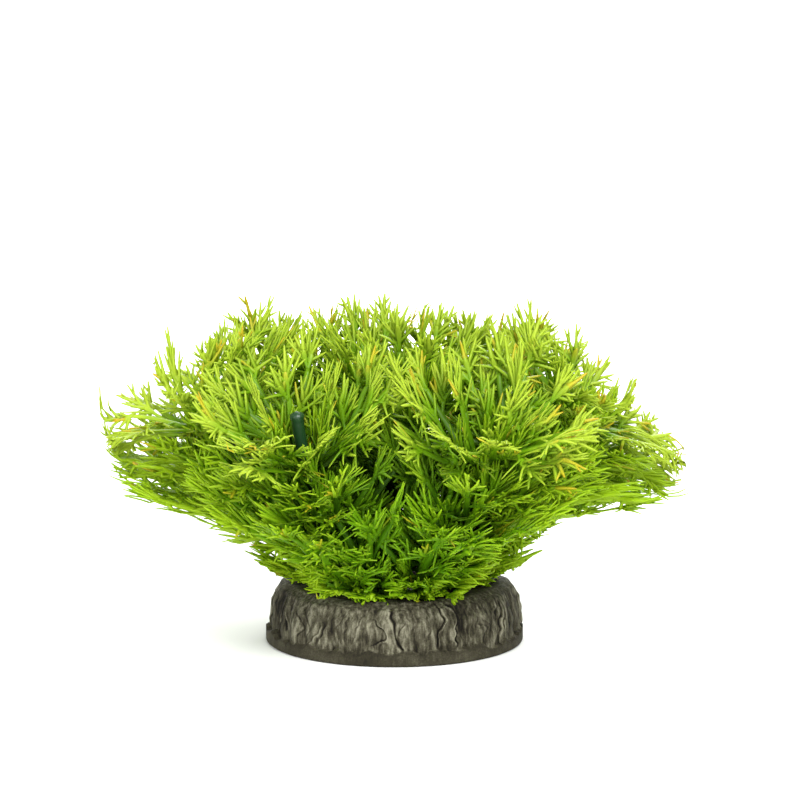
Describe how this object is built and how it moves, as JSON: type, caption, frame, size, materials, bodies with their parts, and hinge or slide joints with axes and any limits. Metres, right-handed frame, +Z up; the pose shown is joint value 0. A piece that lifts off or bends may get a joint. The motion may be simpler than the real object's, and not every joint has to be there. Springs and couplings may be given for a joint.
{
  "type": "artificial aquarium plant",
  "caption": "Bushy artificial java moss for an aquarium: flat moulded fronds on upright tubes, set in a round weighted base that looks like carved bark.",
  "frame": {"origin": "centre of the base's flat underside", "axes": "+Z up, +X along the bush's width, -Y towards the front that the picture shows"},
  "size_m": [0.25, 0.1756, 0.1469],
  "materials": {
    "base": "matt carved bark-like casting, brown-grey with paler ridges",
    "stem": "dark green moulded plastic tube, semi-gloss",
    "crown_frond": "chartreuse to lime moulded plastic, semi-gloss, slightly translucent",
    "mid_frond": "lime to deep green moulded plastic, semi-gloss",
    "low_frond": "deep green moulded plastic with lighter tips, semi-gloss"
  },
  "bodies": {
    "root": {"base": "base", "frond_1_crown_1": "crown_frond", "frond_1_crown_2": "crown_frond", "frond_1_crown_3": "crown_frond", "frond_1_mid_1": "mid_frond", "frond_1_mid_2": "mid_frond", "frond_1_mid_3": "mid_frond", "frond_2_crown_1": "crown_frond", "frond_2_crown_2": "crown_frond", "frond_2_crown_3": "crown_frond", "frond_2_low_1": "low_frond", "frond_2_low_2": "low_frond", "frond_2_low_3": "low_frond", "frond_2_mid_1": "mid_frond", "frond_2_mid_2": "mid_frond", "frond_3_crown_1": "crown_frond", "frond_3_crown_2": "crown_frond", "frond_3_crown_3": "crown_frond", "frond_3_low_1": "low_frond", "frond_3_low_2": "low_frond", "frond_3_mid_1": "mid_frond", "frond_3_mid_2": "mid_frond", "frond_4_crown_1": "crown_frond", "frond_4_crown_2": "crown_frond", "frond_4_crown_3": "crown_frond", "frond_4_low_1": "low_frond", "frond_4_low_2": "low_frond", "frond_4_mid_1": "mid_frond", "frond_4_mid_2": "mid_frond", "frond_5_crown_1": "crown_frond", "frond_5_crown_2": "crown_frond", "frond_5_crown_3": "crown_frond", "frond_5_low_1": "low_frond", "frond_5_low_2": "low_frond", "frond_5_low_3": "low_frond", "frond_5_mid_1": "mid_frond", "frond_5_mid_2": "mid_frond", "frond_6_crown_1": "crown_frond", "frond_6_crown_2": "crown_frond", "frond_6_crown_3": "crown_frond", "frond_6_low_1": "low_frond", "frond_6_low_2": "low_frond", "frond_6_low_3": "low_frond", "frond_6_mid_1": "mid_frond", "frond_6_mid_2": "mid_frond", "frond_7_crown_1": "crown_frond", "frond_7_crown_2": "crown_frond", "frond_7_crown_3": "crown_frond", "frond_7_low_1": "low_frond", "frond_7_low_2": "low_frond", "frond_7_low_3": "low_frond", "frond_7_mid_1": "mid_frond", "frond_7_mid_2": "mid_frond", "stem_1": "stem", "stem_2": "stem", "stem_3": "stem", "stem_4": "stem", "stem_5": "stem", "stem_6": "stem", "stem_7": "stem"}
  },
  "joints": []
}
